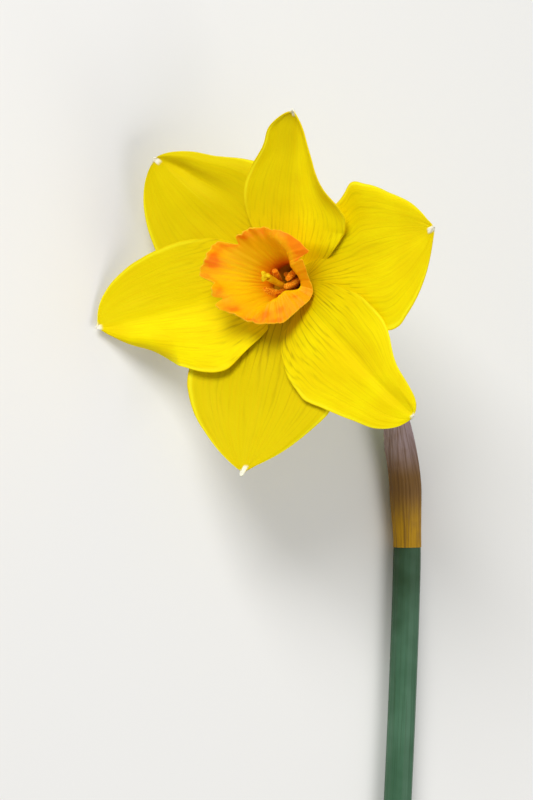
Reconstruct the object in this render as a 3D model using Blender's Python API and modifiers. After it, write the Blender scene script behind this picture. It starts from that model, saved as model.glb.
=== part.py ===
"""A picked daffodil flower lying on a surface, in metres with +Z up.

The flower is worked out in millimetres in its own frame: its origin is where the petals meet the tube, its third
axis runs out through the cup, and azimuths are counted anticlockwise as seen from the front. FLOWER_TO_ROOM turns
that frame to the way the picked flower lies, and everything is shifted at the end so that the origin is under the
middle of the part, on the surface that it rests on.
"""

import math

import bmesh
import bpy
import numpy as np
from mathutils import Matrix, Vector

MM = 0.001
GAP = 0.3  # between pieces that touch

# The way the flower lies.
FACING = Vector((-0.825, 0.100, 0.556))  # out of the cup
UPPERMOST = Vector((0.563, 0.056, 0.825))  # azimuth zero of the flower

# The whorl of six petals (lengths from the flower's axis).
PETAL_START = 6.2
PETAL_THICKNESS = 0.55
INNER_LAYER = 1.5  # how far the inner petals lie in front of the outer ones
BOWL = 0.064  # the petals rise as radius ** BOWL_POWER times this
BOWL_LEAN = 0.025  # and lean forward more on the side of BOWL_LEAN_AZIMUTH
BOWL_LEAN_AZIMUTH = 90
BOWL_POWER = 1.3
CLAW = 2.4  # half width where a petal leaves the tube
TIP = 0.8  # half width of the blunt tip
PETAL_ROWS = 13
PETAL_COLUMNS = 12

# name: (azimuth, length, layer, lift of the tip,
#        clockwise side (half width, place of the widest point, fullness, roll back),
#        anticlockwise side, the same)
PETALS = {
    "inner_petal_top": (79, 39.5, 1, 1.5, (15.6, 0.32, 1.35, 0.30), (13.2, 0.45, 1.0, 0.0)),
    "inner_petal_left": (191, 48.0, 1, 0.9, (15.0, 0.52, 0.45, 0.0), (16.3, 0.34, 0.95, 0.10)),
    "inner_petal_lower_right": (316, 47.0, 1, -4.9, (17.2, 0.40, 0.85, 0.0), (11.2, 0.40, 0.80, 0.0)),
    "outer_petal_upper_left": (135, 43.0, 0, -0.6, (17.4, 0.45, 1.0, 0.12), (17.5, 0.50, 0.55, 0.0)),
    "outer_petal_right": (11.5, 43.2, 0, 0.8, (19.0, 0.58, 1.1, 0.0), (16.4, 0.55, 1.15, 0.10)),
    "outer_petal_bottom": (260, 46.8, 0, 2.2, (20.3, 0.49, 0.78, 0.0), (19.0, 0.47, 1.15, 0.08)),
}
ROLL_START = 0.5  # how far out from the midrib an edge starts to roll
ROLL_FROM = 0.50  # and from what part of the petal's length
MIDRIB_DIP = 0.5
MIDRIB_WIDTH = 0.25  # as a part of the half width
EVEN_ROWS = 0.6  # the rows are this evenly spaced, and for the rest they crowd towards both ends

# The cup: (distance along the axis, radius) of its outer wall, top to bottom, and how that varies around it.
CUP_WALL = 0.6
CUP_PROFILE = ((13.7, 12.4), (12.9, 11.5), (11.6, 10.4), (9.4, 8.9), (6.6, 7.3), (4.2, 6.2), (2.6, 5.6), (0.7, 5.3))
CUP_SEGMENTS = 48
CUP_LOBES = 8
CUP_FRILL = 0.9
CUP_LOBE_DRIFT = 0.8  # how unevenly the lobes are spaced
LONG_SIDE = 160  # azimuth at which the cup is longest and its wall opens like a funnel
LONGER_BY = 2.8
FUNNEL = 1.4  # how much further out the wall runs on the long side, halfway up, and further in opposite
LIP_STRETCH = 0.9  # the lip reaches this much further at azimuths 0 and 180 than its mean, and less between

# The tube behind the petals, the ovary and the bent neck.
TUBE_WALL = 0.6
TUBE_PROFILE = ((-0.75, 6.7), (-1.8, 5.2), (-4.0, 3.9), (-8.0, 3.2), (-14.0, 2.9), (-22.0, 2.8))
TUBE_SEGMENTS = 24
OVARY_LENGTH = 9.0
OVARY_RADIUS = 3.2
OVARY_END = 0.62  # the radius at its ends, as a part of the largest
SPINDLE_FULLNESS = 0.6  # how quickly a spindle swells from its ends
NECK_RADIUS = 1.9
NECK_STRAIGHT = 12.7  # how far the neck runs on in line with the stem before it bends
NECK_SLANT = 1.0  # how far it leans towards the flower on the way
NECK_RISE = 1.0  # how far it rises on the way
NECK_HANDLES = (10.0, 9.0)  # how far the bend holds on to the direction of its lower and its upper end
NECK_BEND_POINTS = 12
NECK_LAST = 1.5  # how far it runs straight into the ovary

# The stem, cut at its lower end.
STEM_RADIUS = 3.5
STEM_TOP = -63.0
STEM_END = -178.0
STEM_SIDE = 47.2  # how far the stem lies to the side of the flower
STEM_BOW = 5.8  # how far its cut end drifts from straight

# The sheath around the neck.
SPATHE_LENGTH = 36.0
SPATHE_THICKNESS = 0.4
SPATHE_WRAP = 320  # degrees round the neck at its foot
SPATHE_TAPER = 0.9  # how much of that is gone at its point
SPATHE_BELLY = 1.1  # how far it stands off the neck where it is widest
SPATHE_BELLY_FOOT = 0.25
SPATHE_BELLY_SPAN = 0.45

# Stamens: the lower and the upper end of each anther, as azimuth, radius and distance along the axis.
STAMENS = (
    ((272, 2.9, 4.8), (256, 2.9, 11.2)),
    ((170, 2.0, 1.4), (98, 2.0, 7.4)),
    ((72, 2.8, -0.4), (2, 2.1, 5.6)),
    ((16, 2.3, -2.0), (308, 2.6, 4.4)),
    ((125, 2.3, -6.0), (125, 2.8, -0.2)),
    ((220, 2.1, -5.0), (220, 2.8, 1.0)),
)
ANTHER_RADIUS = 0.75
ANTHER_END = 0.45
FILAMENT_RADIUS = 0.35
FILAMENT_START = -15.0
FILAMENT_FOOT = 1.75  # how far from the axis a filament starts
STYLE_RADIUS = 0.75
STIGMA_PLACE = 12.6
STIGMA_RADIUS = 1.3
STIGMA_LOBES = 3
STIGMA_MEAN = 0.8  # as parts of its radius
STIGMA_LOBE = 0.3


def clear_scene():
    for old in list(bpy.data.objects):
        bpy.data.objects.remove(old, do_unlink=True)


def principled(name, colour, roughness):
    """A material of one colour, given as sRGB 0 to 255."""
    made = bpy.data.materials.new(name)
    made.use_nodes = True
    shader = made.node_tree.nodes["Principled BSDF"]
    shader.inputs["Base Color"].default_value = [(c / 255) ** 2.2 for c in colour] + [1]
    shader.inputs["Roughness"].default_value = roughness
    shader.inputs["Metallic"].default_value = 0
    made.diffuse_color = shader.inputs["Base Color"].default_value
    return made


def flower_to_room():
    """The rotation whose columns are the flower's axes in the room."""
    front = FACING.normalized()
    first = (UPPERMOST - front * UPPERMOST.dot(front)).normalized()
    second = front.cross(first)
    return Matrix((first, second, front)).transposed()


FLOWER_TO_ROOM = flower_to_room()


def in_flower(azimuth, radius, along):
    """A point of the flower, in room millimetres."""
    turn = math.radians(azimuth)
    return FLOWER_TO_ROOM @ Vector((radius * math.cos(turn), radius * math.sin(turn), along))


def add_object(name, data, material, parent):
    made = bpy.data.objects.new(name, data)
    bpy.data.collections["daffodil"].objects.link(made)
    data.materials.append(material)
    made.parent = parent
    return made


def set_points(mesh, points):
    """Moves a mesh's vertices to these points, given in millimetres."""
    mesh.vertices.foreach_set("co", (np.asarray(points, float) * MM).ravel())
    mesh.update()


def grid_mesh(name, columns, rows):
    """A flat grid with its vertices' two running numbers, across and along, from 0 to 1."""
    builder = bmesh.new()
    bmesh.ops.create_grid(builder, x_segments=columns, y_segments=rows, size=0.5)
    mesh = bpy.data.meshes.new(name)
    builder.to_mesh(mesh)
    builder.free()
    flat = np.array([v.co for v in mesh.vertices]) + 0.5
    return mesh, flat[:, 0], flat[:, 1]


def solidify(obj, thickness):
    shell = obj.modifiers.new("Wall", "SOLIDIFY")
    shell.thickness = thickness * MM
    shell.offset = 0
    shell.use_even_offset = False
    obj.data.shade_smooth()


def side_width(along, half_width, widest, fullness):
    power = math.log(0.5) / math.log(widest)
    swell = np.sin(math.pi * np.clip(along, 0, 1) ** power) ** fullness
    return CLAW * (1 - along) ** 2 + half_width * swell + TIP * along**6


def bowl_height(x, y):
    """How far forward the whorl lies at this place of the flower's face."""
    lean = np.cos(np.arctan2(y, x) - math.radians(BOWL_LEAN_AZIMUTH))
    return (BOWL + BOWL_LEAN * lean) * np.hypot(x, y) ** BOWL_POWER


def petal(name, material, parent):
    azimuth, length, layer, lift, clockwise, anticlockwise = PETALS[name]
    mesh, across, along = grid_mesh(name, PETAL_COLUMNS, PETAL_ROWS)
    across = 2 * across - 1
    along = EVEN_ROWS * along + (1 - EVEN_ROWS) * (1 - np.cos(math.pi * along)) / 2
    out = np.abs(across)
    past = np.clip((out - ROLL_START) / (1 - ROLL_START), 0, 1) ** 2
    free = np.clip((along - ROLL_FROM) / (1 - ROLL_FROM), 0, 1)
    rolling = np.sin(math.pi * free**0.6) ** 1.5
    sides = []
    for half_width, widest, fullness, roll in (clockwise, anticlockwise):
        width = side_width(along, half_width, widest, fullness)
        rolled = roll * rolling * past
        sides.append((width * (out - rolled), width * rolled))
    sideways = np.where(across < 0, -sides[0][0], sides[1][0])
    back = np.where(across < 0, sides[0][1], sides[1][1])

    radial = PETAL_START + (length - PETAL_START) * along
    turn = math.radians(azimuth)
    x = radial * math.cos(turn) - sideways * math.sin(turn)
    y = radial * math.sin(turn) + sideways * math.cos(turn)
    dip = MIDRIB_DIP * np.exp(-((across / MIDRIB_WIDTH) ** 2)) * np.sin(math.pi * along)
    height = bowl_height(x, y) + layer * INNER_LAYER + lift * along**5 - dip - back
    turned = np.stack([x, y, height], 1) @ np.array(FLOWER_TO_ROOM.transposed())
    set_points(mesh, turned)
    obj = add_object(name, mesh, material, parent)
    solidify(obj, PETAL_THICKNESS)
    return obj


def turned_shell(name, profile, segments, wall, material, parent):
    """An open surface of revolution about the flower's axis, with a wall. The profile lists (along, radius)."""
    mesh = bpy.data.meshes.new(name)
    edges = [(i, i + 1) for i in range(len(profile) - 1)]
    mesh.from_pydata([(radius * MM, 0, along * MM) for along, radius in profile], edges, [])
    obj = add_object(name, mesh, material, parent)
    screw = obj.modifiers.new("Turn", "SCREW")
    screw.steps = segments
    screw.render_steps = segments
    screw.use_merge_vertices = True
    screw.merge_threshold = 0.00001
    obj.matrix_basis = FLOWER_TO_ROOM.to_4x4()
    shell = obj.modifiers.new("Wall", "SOLIDIFY")
    shell.thickness = wall * MM
    shell.offset = -1
    return obj


def apply_modifiers(obj):
    """Keeps the shape that the modifiers make as the object's own mesh."""
    bpy.context.view_layer.update()
    shaped = bpy.data.meshes.new_from_object(obj.evaluated_get(bpy.context.evaluated_depsgraph_get()))
    obj.modifiers.clear()
    obj.data = shaped


def corona(material, parent):
    """The cup: a turned wall, longer and more open on one side, whose rim waves in and out."""
    obj = turned_shell("corona", CUP_PROFILE, CUP_SEGMENTS, CUP_WALL, material, parent)
    apply_modifiers(obj)
    top = CUP_PROFILE[0][0]
    foot = CUP_PROFILE[-1][0]
    for vertex in obj.data.vertices:
        place = vertex.co
        turn = math.atan2(place.y, place.x)
        high = min(max((place.z / MM - foot) / (top - foot), 0), 1)
        long_side = math.cos(turn - math.radians(LONG_SIDE))
        wave = CUP_FRILL * math.sin(CUP_LOBES * turn + CUP_LOBE_DRIFT * math.sin(2 * turn))
        outward = high**3 * (wave + LIP_STRETCH * math.cos(2 * turn))
        outward += FUNNEL * long_side * math.sin(math.pi * high) ** 2
        reach = 1 + outward * MM / math.hypot(place.x, place.y)
        place.x *= reach
        place.y *= reach
        place.z += LONGER_BY * MM * long_side * high**2
    obj.data.shade_smooth()
    return obj


def tapered_rod(name, points, radii, material, parent, sides=2):
    """A rod through these points, in room millimetres, with its own radius at each."""
    curve = bpy.data.curves.new(name, "CURVE")
    curve.dimensions = "3D"
    curve.bevel_depth = MM
    curve.bevel_resolution = sides
    curve.use_fill_caps = True
    spline = curve.splines.new("POLY")
    spline.points.add(len(points) - 1)
    for knot, point, radius in zip(spline.points, points, radii):
        knot.co = (*(Vector(point) * MM), 1)
        knot.radius = radius
    spline.use_smooth = True
    return add_object(name, curve, material, parent)


def bezier(points, count):
    """Points along a cubic curve."""
    start, first, second, end = points
    found = []
    for step in range(count):
        t = step / (count - 1)
        near = start * (1 - t) ** 3 + first * 3 * t * (1 - t) ** 2
        found.append(near + second * 3 * t * t * (1 - t) + end * t**3)
    return found


def spindle(start, end, radius, blunt, count):
    """Points and radii of a rod that is thickest in the middle."""
    points = []
    radii = []
    for step in range(count):
        t = step / (count - 1)
        points.append(start.lerp(end, t))
        radii.append(radius * (blunt + (1 - blunt) * math.sin(math.pi * t) ** SPINDLE_FULLNESS))
    return points, radii


def ovary(material, parent):
    top = TUBE_PROFILE[-1][0] - GAP
    start = in_flower(0, 0, top)
    end = in_flower(0, 0, top - OVARY_LENGTH)
    points, radii = spindle(start, end, OVARY_RADIUS, OVARY_END, 7)
    tapered_rod("ovary", points, radii, material, parent, sides=3)
    return end


def neck_points(floor, ovary_end):
    """The neck runs up from the stem's top and bends over into the back of the ovary."""
    bottom = Vector((STEM_SIDE, STEM_TOP + GAP, floor + STEM_RADIUS))
    away = FLOWER_TO_ROOM.col[2]
    top = ovary_end - away * GAP
    level = bottom + Vector((-NECK_SLANT, NECK_STRAIGHT, NECK_RISE))
    straight = [bottom.lerp(level, step / 4) for step in range(4)]
    leave, arrive = NECK_HANDLES
    corner = level + (level - bottom).normalized() * leave
    last = top - away * NECK_LAST
    turn_in = top - away * arrive
    return straight + bezier((level, corner, turn_in, last), NECK_BEND_POINTS) + [top]


def neck(floor, ovary_end, material, parent):
    points = neck_points(floor, ovary_end)
    tapered_rod("neck", points, [NECK_RADIUS] * len(points), material, parent)


def stem_point(part, floor):
    """A point on the stem's middle line: part 0 at its top and 1 at the cut."""
    along = STEM_TOP + (STEM_END - STEM_TOP) * part
    return Vector((STEM_SIDE - STEM_BOW * part**1.3, along, floor + STEM_RADIUS))


def stem(floor, material, parent):
    points = [stem_point(step / 9, floor) for step in range(10)]
    tapered_rod("stem", points, [STEM_RADIUS] * len(points), material, parent, sides=4)


def spathe(floor, ovary_end, material, parent):
    """A sheet wrapped round the neck, open along one side and drawn out to a point at its top."""
    path = neck_points(floor, ovary_end)
    mesh, across, along = grid_mesh("spathe", 14, 12)
    lengths = np.array([0] + [(b - a).length for a, b in zip(path, path[1:])]).cumsum()
    line = np.array(path)
    places = []
    for side, up in zip(across, along):
        reach = up * SPATHE_LENGTH
        middle = np.array([np.interp(reach, lengths, line[:, axis]) for axis in range(3)])
        wrap = math.radians(SPATHE_WRAP) * (1 - SPATHE_TAPER * up**3)
        turn = math.radians(90) + wrap * (side - 0.5)
        belly = math.sin(math.pi * (SPATHE_BELLY_FOOT + SPATHE_BELLY_SPAN * up)) ** 0.8
        radius = NECK_RADIUS + GAP + SPATHE_THICKNESS / 2 + SPATHE_BELLY * belly
        places.append(middle + radius * np.array([math.cos(turn), 0, math.sin(turn)]))
    set_points(mesh, places)
    obj = add_object("spathe", mesh, material, parent)
    solidify(obj, SPATHE_THICKNESS)


def stamen(number, place, filament_material, anther_material, parent):
    low, high = place
    bottom = in_flower(*low)
    top = in_flower(*high)
    points, radii = spindle(bottom, top, ANTHER_RADIUS, ANTHER_END, 6)
    tapered_rod(f"anther_{number}", points, radii, anther_material, parent)
    azimuth, radius, along = low
    foot = in_flower(azimuth, FILAMENT_FOOT, FILAMENT_START)
    knee = in_flower(azimuth, FILAMENT_FOOT, (FILAMENT_START + along) / 2)
    end = in_flower(azimuth, radius, along - GAP)
    tapered_rod(f"filament_{number}", [foot, knee, end], [FILAMENT_RADIUS] * 3, filament_material, parent)


def style(material, parent):
    low = TUBE_PROFILE[-1][0]
    high = STIGMA_PLACE - STIGMA_RADIUS - GAP
    points = [in_flower(0, 0, low + (high - low) * step / 4) for step in range(5)]
    tapered_rod("style", points, [STYLE_RADIUS] * 5, material, parent)


def stigma(material, parent):
    """A small knob with three lobes."""
    builder = bmesh.new()
    bmesh.ops.create_uvsphere(builder, u_segments=18, v_segments=8, radius=STIGMA_RADIUS * MM)
    for vertex in builder.verts:
        turn = math.atan2(vertex.co.y, vertex.co.x)
        spread = STIGMA_MEAN + STIGMA_LOBE * math.cos(STIGMA_LOBES * turn)
        vertex.co.x *= spread
        vertex.co.y *= spread
    mesh = bpy.data.meshes.new("stigma")
    builder.to_mesh(mesh)
    builder.free()
    obj = add_object("stigma", mesh, material, parent)
    obj.matrix_basis = Matrix.Translation(in_flower(0, 0, STIGMA_PLACE) * MM) @ FLOWER_TO_ROOM.to_4x4()
    mesh.shade_smooth()


def box_of(objects):
    """The lowest and highest corners of these objects' shapes, in the room."""
    bpy.context.view_layer.update()
    graph = bpy.context.evaluated_depsgraph_get()
    corners = []
    for obj in objects:
        shaped = obj.evaluated_get(graph)
        mesh = shaped.to_mesh()
        corners += [shaped.matrix_world @ vertex.co for vertex in mesh.vertices]
        shaped.to_mesh_clear()
    corners = np.array(corners)
    return Vector(corners.min(0)), Vector(corners.max(0))


def build():
    clear_scene()
    collection = bpy.data.collections.new("daffodil")
    bpy.context.scene.collection.children.link(collection)
    root = bpy.data.objects.new("flower", None)
    collection.objects.link(root)

    yellow = principled("petal yellow", (238, 214, 10), 0.5)
    orange = principled("cup orange", (245, 150, 5), 0.5)
    pollen = principled("anther orange", (225, 130, 30), 0.8)
    pale = principled("style yellow", (236, 200, 60), 0.5)
    green = principled("stem green", (104, 132, 74), 0.5)
    tube_green = principled("tube green", (170, 180, 40), 0.5)
    paper = principled("spathe brown", (140, 105, 60), 0.8)

    petals = [petal(name, yellow, root) for name in PETALS]
    floor = box_of(petals)[0].z / MM
    corona(orange, root)
    turned_shell("floral_tube", TUBE_PROFILE, TUBE_SEGMENTS, TUBE_WALL, tube_green, root)
    ovary_end = ovary(green, root)
    neck(floor, ovary_end, green, root)
    spathe(floor, ovary_end, paper, root)
    stem(floor, green, root)
    for number, place in enumerate(STAMENS, 1):
        stamen(number, place, pale, pollen, root)
    style(pale, root)
    stigma(pale, root)

    low, high = box_of([o for o in collection.objects if o.type != "EMPTY"])
    root.location = (-(low.x + high.x) / 2, -(low.y + high.y) / 2, -low.z)


build()
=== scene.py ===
# %% [markdown]
# # A picked daffodil
#
# This script dresses a plain model of a daffodil flower that lies on a table: yellow petals, a frilled
# orange cup, stamens, the tube and ovary behind them, a papery sheath and a cut green stem. The plain
# model is loaded first and never changed. Every finer piece is built where its plain solid lies, and then
# stands for it.

# %% The plain model
import math
from functools import partialmethod

import bmesh
import bpy
import numpy as np
from mathutils import Matrix, Vector


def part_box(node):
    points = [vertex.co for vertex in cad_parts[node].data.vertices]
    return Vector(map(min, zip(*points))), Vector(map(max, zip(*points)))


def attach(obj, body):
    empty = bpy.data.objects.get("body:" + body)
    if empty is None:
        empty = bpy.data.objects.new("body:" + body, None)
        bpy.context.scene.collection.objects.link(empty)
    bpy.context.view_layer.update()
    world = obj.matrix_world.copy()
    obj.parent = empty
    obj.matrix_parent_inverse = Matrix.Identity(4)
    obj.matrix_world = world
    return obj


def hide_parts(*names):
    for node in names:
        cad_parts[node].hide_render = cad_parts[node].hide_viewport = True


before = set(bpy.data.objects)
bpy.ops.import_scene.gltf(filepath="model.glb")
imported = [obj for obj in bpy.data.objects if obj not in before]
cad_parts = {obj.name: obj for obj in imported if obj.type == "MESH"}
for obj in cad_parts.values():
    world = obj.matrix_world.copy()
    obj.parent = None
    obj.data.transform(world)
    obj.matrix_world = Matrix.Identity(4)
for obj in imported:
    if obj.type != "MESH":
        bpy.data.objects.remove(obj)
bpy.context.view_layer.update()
MM = 0.001
print("plain solids:", len(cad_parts))

# %% [markdown]
# ## Where the flower is
#
# Everything about a flower is simplest in its own frame: the origin where the petals meet the tube, one
# axis running out through the cup, and azimuths counted anticlockwise round it. Two directions fix how
# the picked flower is turned, and the rim of the tube, which is a circle, gives the origin: the middle of
# a circle is the middle of its box, however it is tilted.

# %% The flower's own frame
FACING = Vector((-0.825, 0.100, 0.556)).normalized()
FIRST = Vector((0.563, 0.056, 0.825))
FIRST = (FIRST - FACING * FIRST.dot(FACING)).normalized()
SECOND = FACING.cross(FIRST)
TURN = Matrix((FIRST, SECOND, FACING))
RIM_BEHIND = 0.75  # millimetres from the tube's rim forward to the origin


def vertices_of(node):
    """A plain solid's vertices in metres."""
    return np.array([vertex.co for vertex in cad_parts[node].data.vertices])


def rod_ends(node):
    """The two ends of a long solid's middle line, from the back of the flower to its front."""
    points = vertices_of(node)
    middle = (points.min(0) + points.max(0)) / 2
    direction = np.linalg.svd(points - points.mean(0), full_matrices=False)[2][0]
    reach = (points - middle) @ direction
    ends = [Vector(middle + direction * end) for end in (reach.min(), reach.max())]
    return sorted(ends, key=FACING.dot)


tube_reach = vertices_of("floral_tube") @ np.array(FACING)
rim_points = vertices_of("floral_tube")[tube_reach > tube_reach.max() - 0.02 * MM]
BASE = Vector((rim_points.min(0) + rim_points.max(0)) / 2) + FACING * RIM_BEHIND * MM
print("the petals meet at", [round(c / MM, 1) for c in BASE], "mm")


def to_room(x, y, along):
    """Points of the flower's frame, in millimetres, as points of the room in metres."""
    return np.stack([x, y, along], -1) @ np.array(TURN) * MM + np.array(BASE)


# %% [markdown]
# ## Writing node trees as sums
#
# Both the shapes of the petals and the colours of every finish are node trees. Written node by node they
# would be unreadable, so a small class wraps a socket and teaches Python's operators to add Math nodes. A
# second class makes any node at all: its settings are set first, and then its sockets get values or
# links. A third gives the outputs of a node back as terms.


# %% Sums of sockets
class Term:
    """A number that varies over a surface, held by a socket."""

    def __init__(self, maker, socket):
        self.maker = maker
        self.socket = socket

    def math(self, operation, *others):
        return self.maker.math(operation, self, *others)

    def __rsub__(self, other):
        return self.maker.math("SUBTRACT", other, self)

    def __rtruediv__(self, other):
        return self.maker.math("DIVIDE", other, self)

    __add__ = __radd__ = partialmethod(math, "ADD")
    __sub__ = partialmethod(math, "SUBTRACT")
    __mul__ = __rmul__ = partialmethod(math, "MULTIPLY")
    __truediv__ = partialmethod(math, "DIVIDE")
    __pow__ = partialmethod(math, "POWER")
    __neg__ = partialmethod(math, "MULTIPLY", -1)
    __abs__ = partialmethod(math, "ABSOLUTE")

    def clamped(self):
        return self.math("MAXIMUM", 0).math("MINIMUM", 1)

    def towards(self, factor, red, green, blue):
        """A colour mixed with another, which is given as it is seen, by a factor from 0 to 1."""
        return mixed(self.maker, factor, self, seen(red, green, blue))


class Made:
    """A node just made. Its outputs are read by name or number, as terms."""

    def __init__(self, maker, node):
        self.maker = maker
        self.node = node

    def __getitem__(self, name):
        return Term(self.maker, self.node.outputs[name])


class Maker:
    """Adds nodes to one tree."""

    def __init__(self, tree):
        self.tree = tree

    def node(self, kind, inputs=None, **settings):
        made = self.tree.nodes.new(kind)
        for name, value in settings.items():
            setattr(made, name, value)
        for name, value in (inputs or {}).items():
            if isinstance(value, Term):
                self.tree.links.new(value.socket, made.inputs[name])
            else:
                made.inputs[name].default_value = value
        return Made(self, made)

    def math(self, operation, *values):
        return self.node("ShaderNodeMath", dict(enumerate(values)), operation=operation)[0]

    def place(self, x, y, z=0.0):
        return self.node("ShaderNodeCombineXYZ", {0: x, 1: y, 2: z})[0]

    def moved(self, geometry, place):
        return self.node("GeometryNodeSetPosition", {"Geometry": geometry, "Position": place})["Geometry"]

    def stored(self, geometry, name, value):
        """The same geometry with a number kept at each point, for the colours to read."""
        inputs = {"Geometry": geometry, "Name": name, "Value": value}
        return self.node("GeometryNodeStoreNamedAttribute", inputs)["Geometry"]

    def end(self, geometry, finish):
        """Ends a Geometry Nodes tree: one real mesh with its finish."""
        whole = self.node("GeometryNodeRealizeInstances", {"Geometry": geometry})
        inputs = {"Geometry": whole["Geometry"], "Material": finish}
        self.node("NodeGroupOutput", {0: self.node("GeometryNodeSetMaterial", inputs)["Geometry"]})


def sine(term):
    return term.math("SINE")


def cosine(term):
    return term.math("COSINE")


def bell(term, width):
    """1 where the term is 0, falling away on both sides."""
    return (-((term / width) ** 2)).math("EXPONENT")


def rise(term, start, end):
    """0 below start and 1 above end, smooth between."""
    part = ((term - start) / (end - start)).clamped()
    return part * part * (3 - 2 * part)


def new_tree(name, inputs, makes):
    """A Geometry Nodes tree with one output and named inputs. Each is a number, or a kind of socket."""
    tree = bpy.data.node_groups.new(name, "GeometryNodeTree")
    for key, value in inputs.items():
        number_kind = "Int" if isinstance(value, int) else "Float"
        kind = value if isinstance(value, str) else number_kind
        socket = tree.interface.new_socket(key, in_out="INPUT", socket_type="NodeSocket" + kind)
        if kind == number_kind:
            socket.default_value = value
    tree.interface.new_socket(makes, in_out="OUTPUT", socket_type="NodeSocketGeometry")
    return tree, Maker(tree)


print("node writing is ready")

# %% [markdown]
# ## The petals
#
# A daffodil has six petals in two rings of three, the inner ring lying in front. Each has a narrow claw
# at the tube, swells to its widest about half way, and closes to a blunt tip with a pale nib. No two are
# alike: one edge curls back, another has a lip turned up, and each side has its own width. The shape
# follows a rule, so it is one Geometry Nodes tree with the sizes as named inputs. It starts from a flat
# grid, whose x runs across the petal and whose y runs along it, and moves each point to its place. Five
# numbers are kept at each point for the colours: how far across and along it is, whether it is in the
# pale nib, how strong the veins and the painted shade near the foot are there, and how deep the yellow
# is, partly the petal's own tone and partly painted shade on the side that gets less light.

# %% The petals' rule
PETAL_START = 4.65
CLAW = 3.3
BOWL = 0.064
BOWL_LEAN = 0.025
BOWL_POWER = 1.3
INNER_LAYER = 1.5
BASE_DROP = 0.9  # every petal starts from the tube's rim
PETAL_THICKNESS = 0.32
VEINS = 25.0  # from edge to edge
STATIONS = (0.15, 0.35, 0.55, 0.75, 0.92)  # where a side may be wider or narrower than the rule
NIB_WIDTH = 0.65

PETAL_INPUTS = {
    "Azimuth": 0.0, "Length": 45.0, "Layer": 0.0, "Lift": 0.0, "Hook": 0.6, "Dip": 0.4, "Waviness": 0.8,
    "Nib": 0.6, "Nib patch": 1.2, "Veined": 0.5, "Seed": 0.0, "Finish": "Material",
}
SIDE_INPUTS = {
    "Width": 15.0, "Widest": 0.45, "Fullness": 0.8, "Blunt": 0.6, "Lobe": 0.0, "Lobe at": 0.5,
    "Tilt": 0.0, "Groove": 0.0, "Groove at": 0.5, "Deepness": 0.0,
    "Roll": 0.0, "Roll start": 0.6, "Roll from": 0.4, "Roll to": 1.1, "Turn up": 0.0,
}
for station in range(len(STATIONS)):
    SIDE_INPUTS[f"Share {station + 1}"] = 1.0
for side in ("A", "B"):
    PETAL_INPUTS |= {f"{name} {side}": value for name, value in SIDE_INPUTS.items()}


def noise(maker, vector, scale, detail=2.0):
    return maker.node("ShaderNodeTexNoise", {"Vector": vector, "Scale": scale, "Detail": detail})[0]


def soft_noise(maker, x, y, z=0.0, detail=1.0):
    """Smooth noise, 0 to 1, over two running numbers and a seed."""
    return noise(maker, maker.place(x, y, z), 1.0, detail)


def vein_pattern(maker, across, along):
    """Fine ridges that run along the petal, 1 on a vein and 0 between."""
    wander = soft_noise(maker, across * 9, along * 3, 0.0, 2.0)
    place = across * (VEINS / 2) * (0.75 + 0.25 * rise(along, 0.1, 0.5)) + (wander - 0.5) * 2.2
    strength = 0.15 + 1.0 * rise(soft_noise(maker, across * 12, along * 2.5, 7.0), 0.35, 0.7)
    return strength * (0.5 + 0.5 * cosine(place * (2 * math.pi))) ** 3


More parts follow.
